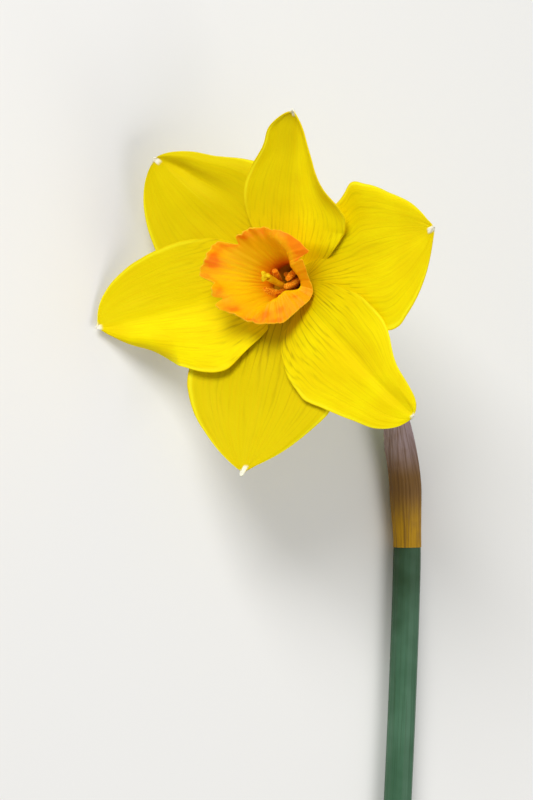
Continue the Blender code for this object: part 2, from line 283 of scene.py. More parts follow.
def petal_tree():
    tree, maker = new_tree("Petal", PETAL_INPUTS, "Petal")
    given = maker.node("NodeGroupInput")
    sizes = {"Size X": 2.0, "Size Y": 1.0, "Vertices X": 169, "Vertices Y": 131}
    grid = maker.node("GeometryNodeMeshGrid", sizes)
    flat = maker.node("ShaderNodeSeparateXYZ", {0: maker.node("GeometryNodeInputPosition")[0]})
    across = -flat[0]
    even = flat[1] + 0.5
    along = 0.6 * even + 0.2 * (1 - cosine(even * math.pi))  # rows lie closer together at both ends
    on_a = across.math("LESS_THAN", 0)

    def of_side(name):
        return given[name + " A"] * on_a + given[name + " B"] * (1 - on_a)

    # how wide this side is: a swelling curve, then this petal's own departures from it
    nib_start = 1 - given["Nib"] / given["Length"]
    body = (along / nib_start).math("MINIMUM", 1)
    power = math.log(0.5) / of_side("Widest").math("LOGARITHM", math.e)
    arch = sine(math.pi * body.math("MAXIMUM", 0.0001) ** power).math("MAXIMUM", 0.00001)
    swell = arch ** of_side("Fullness")
    weights = [bell(along - place, 0.12) for place in STATIONS]
    shares = sum(weight * of_side(f"Share {station + 1}") for station, weight in enumerate(weights))
    ragged = 1 + 0.05 * (soft_noise(maker, along * 7, on_a * 3, given["Seed"], 3.0) - 0.5)
    width = CLAW * (1 - body) ** 2 + of_side("Width") * swell * shares / sum(weights) * ragged
    width = width + of_side("Blunt") * body**8 * (1 - body**20).math("MAXIMUM", 0).math("SQRT")
    width = width + of_side("Lobe") * bell(along - of_side("Lobe at"), 0.06)
    narrowing = ((along - nib_start + 0.01) / (1.01 - nib_start)).clamped()
    tapered = (1 - 0.5 * narrowing) * (1 - narrowing**4).math("MAXIMUM", 0).math("SQRT")
    nib = NIB_WIDTH * rise(along, nib_start - 0.08, nib_start) * tapered
    width = width.math("MAXIMUM", nib)

    # a rolled margin: flat up to its start, and round an arc beyond
    out = abs(across)
    start = of_side("Roll start")
    past = ((out - start) / (1 - start)).clamped()
    roll_length = of_side("Roll to") - of_side("Roll from")
    part = ((along - of_side("Roll from")) / roll_length).clamped()
    rolling = sine(part * math.pi).math("MAXIMUM", 0.0) ** 0.8
    angle = (of_side("Roll") * rolling).math("MAXIMUM", 0.01)
    arm = width * (1 - start)
    sideways = width * out.math("MINIMUM", start) + arm * sine(angle * past) / angle
    back = arm * (1 - cosine(angle * past)) / angle
    turned_up = of_side("Turn up") * past**2 * rolling
    patch_start = nib_start - given["Nib patch"] / given["Length"]
    pale = rise(along, patch_start - 0.008, patch_start + 0.008) * (1 - rise(sideways, 0.35, 0.75))
    pale = pale.math("MAXIMUM", rise(along, nib_start, nib_start + 0.006))
    sideways = sideways * (1 - 2 * on_a)

    # from the petal's own directions to the flower's
    radial = PETAL_START + (given["Length"] - PETAL_START) * along
    cos_turn = cosine(given["Azimuth"])
    sin_turn = sine(given["Azimuth"])
    x = radial * cos_turn - sideways * sin_turn
    y = radial * sin_turn + sideways * cos_turn
    radius = (x * x + y * y).math("SQRT")
    bowl = BOWL * radius**BOWL_POWER + BOWL_LEAN * radius ** (BOWL_POWER - 1) * y

    # the lie of the blade
    hump = sine(along * math.pi)
    risen = rise(along, 0.0, 0.16)
    free = rise(along, 0.1, 0.5)
    grooved = rise(along, 0.35, 0.75) * (1 - rise(along, 0.84, 1.0))
    sway = soft_noise(maker, across * 1.3, along * 2.6, given["Seed"]) - 0.5
    ripple = soft_noise(maker, across * 4.5, along * 2.0, given["Seed"] + 30) - 0.5
    vein = vein_pattern(maker, across, along)
    # near the foot the veins are stronger, and the colours paint shade there by the same number
    near = given["Veined"] * (0.8 - 0.8 * rise(along, 0.1, 0.5) + 0.2 * (1 - rise(along, 0.4, 1.0)))
    height = (
        bowl
        + given["Layer"] * INNER_LAYER * risen
        + given["Lift"] * along**5
        - back
        + turned_up
        - BASE_DROP * (1 - risen)
        - given["Dip"] * bell(across, 0.14) * hump
        + of_side("Tilt") * width * out.math("MINIMUM", start) * hump
        - of_side("Groove") * bell(out - of_side("Groove at"), 0.2) * grooved
        + given["Hook"] * ((along - 0.9) * 10).clamped() ** 2
        + given["Waviness"] * free * (2 * sway + 0.35 * ripple)
        - vein * (0.01 + 0.04 * near) * rise(along, 0.0, 0.1)
        + 0.25 * pale
    )

    # a deeper yellow on each side: partly the petal's own tone, partly painted shade on the less lit side
    side = rise(across, -0.25, 0.25)
    deep = given["Deepness A"] * (1 - side) + given["Deepness B"] * side
    blade = grid["Mesh"]
    kept_numbers = {"across": across, "along": along, "nib": pale, "near": near, "deep": deep}
    for name, value in kept_numbers.items():
        blade = maker.stored(blade, name, value)
    maker.end(maker.moved(blade, maker.place(x * MM, y * MM, height * MM)), given["Finish"])
    return tree


PETAL = petal_tree()
print("the petal rule has", len(PETAL.nodes), "nodes")

# %% [markdown]
# ## Turning a tree into a piece
#
# A modifier's inputs are set by the identifiers of their sockets. The evaluated shape then becomes an
# ordinary mesh, and the modifier goes, because a finished piece should be a plain mesh with its place in
# its vertices. The piece is hung on the root body, and the plain solids that it stands for are hidden.


# %% From a tree to a mesh
def new_object(name, data):
    made = bpy.data.objects.new(name, data)
    bpy.context.scene.collection.objects.link(made)
    return made


def evaluated(made):
    """The mesh that an object is once its modifiers have run."""
    bpy.context.view_layer.update()
    graph = bpy.context.evaluated_depsgraph_get()
    return bpy.data.meshes.new_from_object(made.evaluated_get(graph))


def mesh_of(tree, values, data=None):
    """The mesh that a Geometry Nodes tree makes, from nothing or from a mesh or a curve."""
    data = data or bpy.data.meshes.new("carrier")
    carrier = new_object("carrier", data)
    modifier = carrier.modifiers.new("Shape", "NODES")
    modifier.node_group = tree
    for item in tree.interface.items_tree:
        if item.item_type == "SOCKET" and item.in_out == "INPUT" and item.name in values:
            modifier[item.identifier] = values[item.name]
    mesh = evaluated(carrier)
    bpy.data.objects.remove(carrier)
    if isinstance(data, bpy.types.Mesh):
        bpy.data.meshes.remove(data)
    return mesh


def named(sizes, side=""):
    """Sizes under the names of a tree's inputs."""
    return {key.replace("_", " ").capitalize() + side: value for key, value in sizes.items()}


def place_in_room(mesh, origin=BASE):
    """Moves a mesh in metres from the flower's frame to the room, with its origin at a point."""
    mesh.transform(Matrix.Translation(origin) @ TURN.transposed().to_4x4())


def piece(name, mesh, stands_for=(), wall=0.0, behind=None):
    """Links a finished mesh as one piece. A wall gives it thickness, and behind is its back's finish."""
    mesh.name = name
    made = new_object(name, mesh)
    mesh.shade_smooth()
    if wall:
        shell = made.modifiers.new("Wall", "SOLIDIFY")
        shell.thickness = wall * MM
        shell.offset = 0
        if behind:
            mesh.materials.append(behind)
            shell.material_offset = 1
        made.data = evaluated(made)
        made.modifiers.clear()
        bpy.data.meshes.remove(mesh)
        made.data.name = name
    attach(made, "root")
    if stands_for:
        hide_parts(*stands_for)
    triangles = sum(len(polygon.vertices) - 2 for polygon in made.data.polygons)
    print(f"{name}: {triangles} triangles")
    return made


# %% [markdown]
# ## The finishes
#
# Each finish is one Principled material whose colour is mixed from a few soft layers. A helper turns a
# colour as it is seen on a screen into the light values that a shader works with.


# %% Colours and finishes
# the sockets of a Mix node that are for colours, which share their names with others
MIX_FACTOR, MIX_FIRST, MIX_SECOND, MIX_RESULT = 0, 6, 7, 2


def seen(red, green, blue):
    """A colour given as it is seen, 0 to 255, for a socket."""
    return tuple((c / 255) ** 2.2 for c in (red, green, blue)) + (1.0,)


def new_finish(name, roughness, specular=0.5):
    finish = bpy.data.materials.new(name)
    finish.use_nodes = True
    shader = finish.node_tree.nodes["Principled BSDF"]
    shader.inputs["Roughness"].default_value = roughness
    shader.inputs["Specular IOR Level"].default_value = specular
    return finish, Maker(finish.node_tree), shader


def mixed(maker, factor, first, second):
    """A colour between two others."""
    inputs = {MIX_FACTOR: factor, MIX_FIRST: first, MIX_SECOND: second}
    return maker.node("ShaderNodeMix", inputs, data_type="RGBA")[MIX_RESULT]


def attribute(maker, name):
    return maker.node("ShaderNodeAttribute", attribute_name=name)["Fac"]


def clouded(maker, scale, detail=2.0):
    """Noise through the space that a piece fills."""
    return noise(maker, maker.node("ShaderNodeTexCoord")["Object"], scale, detail)


def painted(shader, colour, relief=None, strength=0.0, distance=0.0):
    """Links a finish's colour, and perhaps a relief whose distance is in millimetres."""
    maker = colour.maker
    maker.tree.links.new(colour.socket, shader.inputs["Base Color"])
    if relief:
        inputs = {"Height": relief, "Strength": strength, "Distance": distance * MM}
        maker.tree.links.new(maker.node("ShaderNodeBump", inputs)[0].socket, shader.inputs["Normal"])


def translucent(shader, weight, radius, scale):
    """Lets light into a thin wall: how much of it, how far for each colour, and the scale in millimetres."""
    shader.inputs["Subsurface Weight"].default_value = weight
    shader.inputs["Subsurface Radius"].default_value = radius
    shader.inputs["Subsurface Scale"].default_value = scale * MM


def plain_finish(name, colour, other, scale, roughness, specular=0.08, distance=0.1):
    """A finish of two close colours in soft patches."""
    finish, maker, shader = new_finish(name, roughness, specular)
    patches = clouded(maker, scale)
    painted(shader, mixed(maker, rise(patches, 0.35, 0.65), colour, other), patches, 0.3, distance)
    return finish


def ring(around, size):
    """Two running numbers that go round a circle, so that noise over them has no seam."""
    turn = around * (2 * math.pi)
    return size * cosine(turn), size * sine(turn)


def petal_finish(name, behind):
    """Yellow with faint veins, painted shade near the foot, a deeper yellow that is partly painted shade,
    and a painted highlight along the margins. Behind, a petal is paler, and green along the middle near its
    foot.
    """
    finish, maker, shader = new_finish(name, 0.6, 0.05)
    names = ("across", "along", "near", "deep", "nib")
    across, along, near, deep, nib = (attribute(maker, name) for name in names)
    streaks = soft_noise(maker, across * 26, along * 3, 0.0, 3.0)
    fine = soft_noise(maker, across * 70, along * 7, 0.0, 2.0)
    clouds = clouded(maker, 90.0)
    crinkle = clouded(maker, 1500.0)
    vein = vein_pattern(maker, across, along)
    colour = mixed(maker, rise(clouds, 0.35, 0.7), seen(252, 232, 0), seen(246, 218, 0))
    # a deeper yellow: partly the petal's own tone, partly painted shade where less light falls
    colour = colour.towards((0.85 * deep).math("MINIMUM", 1), 221, 199, 0)
    colour = colour.towards(0.22 * rise(streaks, 0.45, 0.75), 228, 188, 0)
    colour = colour.towards(0.25 * rise(fine, 0.45, 0.7), 232, 196, 0)
    colour = colour.towards((0.05 * vein + 0.6 * vein * near).math("MINIMUM", 0.8), 142, 116, 0)
    # painted shade near the foot, where the cup shades the petals
    shaded = (2 * near - 1.1).clamped() * (1 - rise(along, 0.0, 0.32))
    colour = colour.towards(0.5 * shaded, 140, 118, 0)
    if behind:
        colour = colour.towards(0.35, 250, 240, 120)
        colour = colour.towards(0.6 * bell(across, 0.10) * (1 - rise(along, 0.1, 0.9)), 150, 168, 50)
    # a painted highlight along each margin, where the edge catches the light
    margin_highlight = bell(abs(across) - 0.965, 0.025) * rise(along, 0.2, 0.5)
    colour = colour.towards(0.6 * margin_highlight, 255, 246, 40)
    edge = rise(abs(across), 0.985, 1.0)
    colour = colour.towards(0.3 * edge, 238, 190, 10)
    colour = colour.towards(nib, 255, 250, 225)
    relief = 0.8 * streaks + vein * (0.14 + 0.5 * near) + 0.6 * crinkle + 0.7 * fine
    painted(shader, colour, relief, 0.45, 0.14)
    translucent(shader, 0.12, (1.0, 0.75, 0.1), 0.6)
    return finish


PETAL_FRONT = petal_finish("petal yellow", False)
PETAL_BACK = petal_finish("petal yellow behind", True)
print("petal finishes:", PETAL_FRONT.name, "and", PETAL_BACK.name)

# %% [markdown]
# Now the six petals: sizes of the whole petal, of its side A and of its side B. Side A is the clockwise
# one as seen from the front. Sizes are in millimetres, lengths from the flower's axis, azimuths in
# degrees and rolls in radians.

# %% Six petals
PETALS = {
    "inner_petal_top": (
        dict(azimuth=77, length=38.9, layer=1, lift=1.5, seed=1, dip=0.2, nib=0.5, nib_patch=0.8,
            veined=0.45),
        dict(width=15.6, widest=0.33, fullness=1, shares=(0.78, 0.90, 0.60, 0.65, 0.85), lobe=0.4,
            lobe_at=0.34, turn_up=4, roll_start=0.4, roll_from=0.25, roll_to=1.02, deepness=0.25),
        dict(width=13.2, widest=0.45, fullness=1, shares=(0.92, 0.92, 0.9, 0.86, 1.55), blunt=2.8,
            turn_up=1.2, roll_start=0.75, roll_from=0.3, deepness=1),
    ),
    "inner_petal_left": (
        dict(azimuth=191, length=47.1, layer=1, lift=0.9, seed=2, dip=0.3, nib=0.6, nib_patch=0.6,
            veined=0.5),
        dict(width=15, widest=0.52, fullness=0.45, shares=(1, 1, 0.97, 0.98, 1), tilt=0.04,
            deepness=0.8),
        dict(width=16.8, widest=0.34, fullness=0.95, shares=(0.75, 0.96, 0.95, 1.0, 1.5), tilt=0.14,
            roll=1.9, roll_start=0.5, roll_from=0.58, roll_to=1.2),
    ),
    "inner_petal_lower_right": (
        dict(azimuth=315.6, length=48.4, layer=1, lift=-4.9, seed=3, dip=0.6, nib=0.3, nib_patch=0.3,
            veined=0.85),
        dict(width=17.2, widest=0.40, fullness=0.85, shares=(0.8, 0.84, 0.86, 0.93, 1.3), blunt=3.8,
            lobe=0.5, lobe_at=0.45, deepness=0.15),
        dict(width=11.2, widest=0.40, fullness=0.80, shares=(0.7, 0.9, 0.98, 0.74, 0.9), blunt=2.8,
            roll=0.7, tilt=0.05, deepness=0.3),
    ),
    "outer_petal_upper_left": (
        dict(azimuth=135, length=43.7, layer=0, lift=-0.6, seed=4, dip=0.1, nib=0.4, nib_patch=1.3,
            veined=0.35),
        dict(width=17.4, widest=0.45, fullness=1, shares=(1, 0.97, 0.9, 0.88, 1.15), blunt=2.8,
            roll=1.3, roll_start=0.72, groove=1.6, groove_at=0.3, deepness=1.1),
        dict(width=17.5, widest=0.50, fullness=0.55, shares=(1, 1, 0.98, 0.97, 1.0), blunt=1.5,
            deepness=0.9),
    ),
    "outer_petal_right": (
        dict(azimuth=10.4, length=43.8, layer=0, lift=0.8, seed=5, dip=0.2, nib=0.3, nib_patch=2.2,
            veined=0.85),
        dict(width=18.6, widest=0.58, fullness=1.1, shares=(1, 1, 0.98, 0.92, 1.1), deepness=0.3),
        dict(width=17, widest=0.53, fullness=1.05, shares=(1.3, 0.86, 0.92, 0.86, 1.12), lobe=1.6,
            lobe_at=0.47, roll=1.3, roll_start=0.84, deepness=0.5),
    ),
    "outer_petal_bottom": (
        dict(azimuth=260, length=46.6, layer=0, lift=2.2, seed=6, nib=1.3, nib_patch=1.4, veined=1.2),
        dict(width=20.3, widest=0.49, fullness=0.78, shares=(1, 1, 1, 1.03, 1.05), deepness=1.15),
        dict(width=19, widest=0.47, fullness=1.15, shares=(1, 1, 0.97, 1, 1.3), roll=1,
            roll_start=0.8, deepness=1.1),
    ),
}


def petal_values(whole, *sides):
    """A petal's sizes as the tree's inputs."""
    values = named(whole)
    for side, sizes in zip((" A", " B"), sides):
        values |= named(sizes, side)
        for station, share in enumerate(values.pop("Shares" + side)):
            values[f"Share {station + 1}{side}"] = share
    values = {key: float(value) for key, value in values.items()}
    values["Azimuth"] = math.radians(values["Azimuth"])
    return values | {"Finish": PETAL_FRONT}


for petal_name, sizes in PETALS.items():
    petal_mesh = mesh_of(PETAL, petal_values(*sizes))
    place_in_room(petal_mesh)
    piece(petal_name, petal_mesh, [petal_name], wall=PETAL_THICKNESS, behind=PETAL_BACK)

# %% [markdown]
# ## The cup
#
# The cup is a wall that opens from the tube, longer and more open on one side, with its lip turned out on
# the other. Its rim is frilled: broad lobes with notches between them, and small crimps at the very edge.
# In two places the lip is swept sideways and bunches up. It is a surface wrapped round the flower's axis,
# so a function gives each point from its azimuth and its share of the way up.


# %% The cup's shape
def mesh_from(name, points, around, high, closed):
    """A mesh over rows of points, with its two running numbers kept for the colours."""
    index = np.arange(high.size).reshape(high.shape)
    right = np.roll(index, -1, axis=1)
    faces = np.stack([index[:-1], right[:-1], right[1:], index[1:]], -1)
    if not closed:
        faces = faces[:, :-1, ::-1]
    mesh = bpy.data.meshes.new(name)
    mesh.from_pydata(points.reshape(-1, 3), [], faces.reshape(-1, 4).tolist())
    for key, value in (("around", around), ("high", high)):
        mesh.attributes.new(key, "FLOAT", "POINT").data.foreach_set("value", value.ravel())
    mesh.update()
    return mesh


def wrapped(name, spokes, rings, place):
    """A surface round the flower's axis. place gives its radii, distances along the axis and azimuths."""
    turn, high = np.meshgrid(np.arange(spokes) * 2 * math.pi / spokes, np.linspace(0, 1, rings))
    radius, along, azimuth = place(turn, high)
    points = to_room(radius * np.cos(azimuth), radius * np.sin(azimuth), along)
    return mesh_from(name, points, turn / (2 * math.pi), high, True)


def bump_at(turn, azimuth, width):
    """1 at an azimuth in degrees, falling to 0 within a few widths."""
    away = (np.degrees(turn) - azimuth + 180) % 360 - 180
    return np.exp(-((away / width) ** 2))


def smooth(x, start, end):
    part = np.clip((x - start) / (end - start), 0, 1)
    return part * part * (3 - 2 * part)


# azimuth, the wall's length in millimetres, the degrees that its foot and its lip lean out from the
# axis, and the share of the way up where the lip begins to turn
CUP_WALLS = (
    (173, 19.8, 34, 40, 0.80), (151, 19.2, 34, 42, 0.80), (141, 17.9, 33, 42, 0.80),
    (122, 15.6, 31, 42, 0.80), (103, 16.0, 29, 36, 0.80), (90, 13.5, 27, 50, 0.88),
    (76, 15.0, 22, 110, 0.93), (60, 16.2, 20, 118, 0.82), (46, 13.6, 13, 112, 0.72),
    (30, 12.2, 3, 100, 0.74), (15, 9.0, 2, 98, 0.72), (0, 6.2, 2, 100, 0.70),
    (-15, 6.2, 0, 100, 0.52), (-30, 7.0, -4, 102, 0.50), (-45, 10.6, -18, 100, 0.54),
    (-60, 12.6, -18, 98, 0.56), (-75, 13.9, -10, 88, 0.54), (-90, 13.9, -2, 76, 0.54),
    (-105, 13.6, 3, 76, 0.60), (-120, 12.0, 32, 44, 0.62), (-135, 13.4, 38, 46, 0.70),
    (-147, 15.8, 34, 48, 0.76), (-156, 17.4, 31, 46, 0.80), (-166, 18.2, 33, 42, 0.80),
    (-176, 19.2, 34, 40, 0.80),
)
# azimuth, width in degrees, and the millimetres that a notch takes away from the lip or a lobe adds
NOTCHES = (
    (133, 6.5, -2.9), (34, 4, -1.6), (43, 5, 0.9), (-176, 4, -2.3), (-167, 4, -0.9),
    (-159, 3, -2.4), (-151, 5, 0.5), (163, 6, 0.4), (147, 3, 0.4),
)
# azimuth, width and how far round, all in degrees, a part of the lip is swept
SWEEPS = ((52, 16, -15), (-92, 14, 6))
LONG_SIDE = 165
CUP_WALL = 0.35
CUP_FOOT_RADIUS = 4.7
CUP_FOOT = -0.3


def round_cup(turn, column):
    """One column of the list of walls, running from azimuth to azimuth with its corners smoothed."""
    rows = sorted((row[0] % 360, row[column]) for row in CUP_WALLS)
    azimuths, values = zip(*rows)
    shifts = (-9, -6, -3, 0, 3, 6, 9)
    around = np.degrees(turn)
    return sum(np.interp(around + shift, azimuths, values, period=360) for shift in shifts) / len(shifts)


def cup_place(turn, high):
    length, foot, lip, start = (round_cup(turn, column) for column in range(1, 5))
    foot, lip = np.radians(foot), np.radians(lip)
    length = length * (1 + 0.015 * np.sin(23 * turn + 2 * np.sin(3 * turn)) + 0.008 * np.sin(51 * turn + 1))
    frill = np.sin(9 * turn + 1.2 * np.sin(2 * turn)) + 0.6 * np.sin(17 * turn + 2 * np.sin(3 * turn + 1))
    turned = smooth(high, start - 0.11, start + 0.09)
    lean = foot * smooth(high, 0.02, 0.26) + (lip - foot) * turned
    long_side = 0.5 + 0.5 * np.cos(turn - math.radians(LONG_SIDE))
    lean = lean + smooth(high, 0.55, 1.0) * np.radians(2 + 11 * long_side) * frill
    change = sum(amount * bump_at(turn, azimuth, width) for azimuth, width, amount in NOTCHES)
    lip_share = np.clip(1 + change / (length * (1 - start)), 0.15, None)
    step = length / (high.shape[0] - 1) * (1 + (lip_share - 1) * smooth(high, start - 0.05, start + 0.05))
    out, up = np.sin(lean) * step, np.cos(lean) * step
    radius = CUP_FOOT_RADIUS + np.cumsum(out, axis=0) - out[0]
    along = CUP_FOOT + np.cumsum(up, axis=0) - up[0]
    pleats = 0.05 * np.sin(40 * turn + 3 * np.sin(4 * turn)) * np.sin(math.pi * high) * long_side
    sweep = sum(np.radians(amount) * bump_at(turn, azimuth, width) for azimuth, width, amount in SWEEPS)
    return radius + pleats, along, turn + sweep * smooth(high, 0.55, 1.0)


# the redder blotches near the rim: azimuth and share of the way up, width and height in the same
# measures, and strength
BLOTCHES = (
    (-146, 0.88, 7, 0.09, 1.2), (-119, 0.97, 9, 0.03, 0.7), (-93, 0.95, 14, 0.05, 0.9),
    (-102, 0.82, 11, 0.10, 0.8), (-78, 0.78, 9, 0.07, 0.7), (-48, 0.72, 6, 0.05, 0.8),
    (-24, 0.78, 7, 0.04, 0.7), (-168, 0.86, 5, 0.08, 0.5), (177, 0.93, 5, 0.06, 0.8),
    (163, 0.88, 9, 0.12, 0.6), (150, 0.93, 11, 0.07, 0.8), (140, 0.88, 4, 0.10, 0.5),
    (114, 0.92, 14, 0.08, 0.55), (96, 0.88, 5, 0.08, 0.4), (70, 0.97, 12, 0.05, 1.0),
    (55, 0.93, 12, 0.10, 1.4), (40, 0.92, 8, 0.12, 1.4),
)


def cup_finish(name, inside):
    """Deep orange inside, with a throat darkened partly by its own colour and partly by painted shade,
    redder blotches at the rim, and paler outside.
    """
    finish, maker, shader = new_finish(name, 0.55, 0.12)
    around = attribute(maker, "around")
    high = attribute(maker, "high")
    streaks = soft_noise(maker, *ring(around, 18.0), high * 2.2, 3.0)
    blotches = soft_noise(maker, *ring(around, 4.8), high * 4.5, 2.0)
    if inside:
        # darker at the throat: the cup's own deeper orange, and painted shade deep inside
        colour = mixed(maker, rise(high, 0.0, 0.16), seen(206, 120, 6), seen(244, 150, 0))
        colour = colour.towards(rise(high, 0.12, 0.42), 255, 198, 0)
    else:
        colour = mixed(maker, rise(high, 0.1, 0.8), seen(236, 196, 8), seen(252, 170, 0))
    short_side = 0.5 - 0.5 * cosine(around * (2 * math.pi) - math.radians(LONG_SIDE))
    on_lip = rise(high, 0.5, 0.65) * short_side
    streaks = streaks * (1 - 0.8 * on_lip)
    colour = colour.towards(0.35 * rise(streaks, 0.48, 0.7), 250, 150, 0)
    colour = colour.towards(0.7 * on_lip, 252, 156, 0)
    if inside:
        colour = colour.towards(0.5 * rise(high, 0.5, 0.95), 252, 160, 0)
    redder = sum(
        strength
        * bell(2 * sine((around - azimuth / 360) * math.pi), math.radians(width))
        * bell(high - place, depth)
        for azimuth, place, width, depth, strength in BLOTCHES
    )
    rim_stain = 0.35 * rise(high, 0.8, 1.0) * rise(blotches, 0.5, 0.6)
    redder = (redder * (0.45 + rise(blotches, 0.35, 0.6)) + rim_stain).clamped()
    colour = colour.towards(0.92 * redder * (0.75 + 0.25 * rise(streaks, 0.35, 0.6)), 250, 116, 0)
    colour = colour.towards(0.7 * rise(high, 0.985, 1.0), 255, 190, 40)
    painted(shader, colour, streaks, 0.3, 0.1)
    translucent(shader, 0.5, (1.0, 0.55, 0.15), 1.2)
    return finish


cup_mesh = wrapped("corona", 540, 84, cup_place)
cup_mesh.materials.append(cup_finish("cup outside", False))
piece("corona", cup_mesh, ["corona"], wall=CUP_WALL, behind=cup_finish("cup inside", True))

# %% [markdown]
# ## The tube
#
# Behind the petals the flower narrows to a tube with six faint ribs. It is green at the ovary and turns
# golden where it flares out into the petals, both outside and inside. It is wrapped round the axis in the
# same way as the cup.


# %% The tube
TUBE_FOOT = -22.4
TUBE_LENGTH = 22.0
TUBE_RADIUS = 2.6
TUBE_WIDENS = 0.35
TUBE_FLARE = 2.5  # how much wider still its mouth is
TUBE_WALL = 0.5
TUBE_RIBS = 6
TUBE_RIB_DEPTH = 0.14


def tube_place(turn, high):
    radius = TUBE_RADIUS + TUBE_WIDENS * high + TUBE_FLARE * high**7
    ribbed = (1 - high**6) * smooth(high, 0.0, 0.1)
    radius = radius + TUBE_RIB_DEPTH * np.cos(TUBE_RIBS * turn) * ribbed
    return radius, TUBE_FOOT + TUBE_LENGTH * high, turn


def tube_finish():
    finish, maker, shader = new_finish("tube yellow-green", 0.5, 0.08)
    high = attribute(maker, "high")
    clouds = clouded(maker, 300.0)
    colour = mixed(maker, rise(high, 0.15, 0.9), seen(120, 140, 40), seen(224, 200, 10))
    colour = colour.towards(0.3 * rise(clouds, 0.4, 0.7), 110, 124, 30)
    painted(shader, colour, clouds, 0.25, 0.1)
    return finish


def tube_inside():
    finish, maker, shader = new_finish("tube inside", 0.6, 0.1)
    # the tube's own green, darkened deep inside as painted shade, and golden towards its open end
    open_end = rise(attribute(maker, "high"), 0.5, 1.0)
    painted(shader, mixed(maker, open_end, seen(44, 84, 14), seen(200, 140, 16)))
    return finish


tube_mesh = wrapped("floral_tube", 144, 70, tube_place)
tube_mesh.materials.append(tube_finish())
piece("floral_tube", tube_mesh, ["floral_tube"], wall=TUBE_WALL, behind=tube_inside())

# %% [markdown]
# ## Stalks
#
# The stem, the bent neck, the ovary, the anthers and all the fine threads inside the flower are one kind
# of shape: a rounded section carried along a curve, with its own thickness at every point and ribs round
# it. One Geometry Nodes tree makes them all from a curve.


# %% The stalks' rule
STALK_INPUTS = {
    "Path": "Geometry", "Ribs": 0.0, "Rib depth": 0.0, "Sides": 24, "Rings": 40, "Finish": "Material",
}


def stalk_tree():
    tree, maker = new_tree("Stalk", STALK_INPUTS, "Stalk")
    given = maker.node("NodeGroupInput")
    path = maker.node("GeometryNodeResampleCurve", {"Curve": given["Path"], "Count": given["Rings"]})
    share = maker.node("GeometryNodeSplineParameter")["Factor"]
    circle = maker.node("GeometryNodeCurvePrimitiveCircle", {"Resolution": given["Sides"], "Radius": 1.0})
    turn = maker.node("GeometryNodeSplineParameter")["Factor"] * (2 * math.pi)
    swell = 1 + given["Rib depth"] * cosine(turn * given["Ribs"])
    outline = maker.moved(circle["Curve"], maker.place(swell * cosine(turn), swell * sine(turn)))
    swept = {
        "Curve": maker.stored(path["Curve"], "high", share),
        "Profile Curve": maker.stored(outline, "around", turn / (2 * math.pi)),
        "Scale": maker.node("GeometryNodeInputRadius")[0],
        "Fill Caps": True,
    }
    maker.end(maker.node("GeometryNodeCurveToMesh", swept)["Mesh"], given["Finish"])
    return tree


STALK = stalk_tree()


def path_through(points, radii):
    """A curve through points in metres, with a radius in millimetres at each."""
    curve = bpy.data.curves.new("path", "CURVE")
    curve.dimensions = "3D"
    spline = curve.splines.new("POLY")
    spline.points.add(len(points) - 1)
    for knot, point, radius in zip(spline.points, points, radii):
        knot.co = (*point, 1)
        knot.radius = radius * MM
    return curve


def stalk(name, points, radii, finish, slot, **sizes):
    """A stalk that stands for the plain solid of its own name. Radii are in millimetres."""
    mesh = mesh_of(STALK, named(sizes) | {"Finish": finish}, path_through(points, radii))
    return piece(name, mesh, [name])


def shares(count):
    """Evenly spaced shares of a length, from 0 to 1."""
    return [step / (count - 1) for step in range(count)]


def bezier(start, first, second, end, count):
    """Points along a cubic curve."""
    found = []
    for t in shares(count):
        near = start * (1 - t) ** 3 + first * 3 * t * (1 - t) ** 2
        found.append(near + second * 3 * t * t * (1 - t) + end * t**3)
    return found


def line(start, end, count):
    return [start.lerp(end, share) for share in shares(count)]


print("the stalk rule has", len(STALK.nodes), "nodes")

# %% [markdown]
# ## The stem, the neck and the ovary
#
# The stem is round and finely ribbed, blue-green with a pale bloom, and darker just under the sheath. Its
# cut end is hollow. The neck leaves it inside the sheath and bends up into the ovary, which is
# yellow-green like the neck and has three rounded sides.

# %% Green finishes
def green_finish(name, low, high_colour, bloom):
    finish, maker, shader = new_finish(name, 0.5, 0.4)
    high = attribute(maker, "high")
    flow = maker.place(*ring(attribute(maker, "around"), 8.0), high * 3)
    lines = noise(maker, flow, 1.6, 3.0)
    patches = clouded(maker, 60.0, 3.0)
    colour = mixed(maker, rise(high, 0.0, 0.3), low, high_colour)
    colour = mixed(maker, 0.5 * rise(patches, 0.4, 0.7), colour, bloom)
    colour = mixed(maker, 0.35 * rise(lines, 0.5, 0.7), colour, low)
    painted(shader, colour, lines, 0.3, 0.15)
    return finish


STEM_GREEN = green_finish("stem green", seen(30, 60, 20), seen(52, 92, 64), seen(84, 124, 98))
NECK_GREEN = green_finish("neck green", seen(120, 140, 50), seen(110, 138, 48), seen(140, 160, 90))

# %% Stem, neck and ovary
stem_low, stem_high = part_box("stem")
STEM_RADIUS = (stem_high.z - stem_low.z) / 2 / MM
STEM_BOW = 5.8
stem_top = Vector((stem_high.x - STEM_RADIUS * MM, stem_high.y, (stem_low.z + stem_high.z) / 2))


def stem_point(part):
    """A point on the stem's middle line: part 0 at its top and 1 at the cut."""
    drift = -STEM_BOW * MM * part**1.3
    return stem_top + Vector((drift, (stem_low.y - stem_high.y) * part, 0))


stem_path = [stem_point(share**1.3) for share in shares(61)]
stem_radii = [STEM_RADIUS * (0.985 - 0.07 * math.exp(-30 * share)) for share in shares(61)]
made_stem = stalk(
    "stem", stem_path, stem_radii, STEM_GREEN, "stem",
    ribs=14.0, rib_depth=0.012, sides=112, rings=110,
)


CUT_RIM = 1.0  # how thick the stem's wall is at the cut
CUT_DEPTH = 6.0


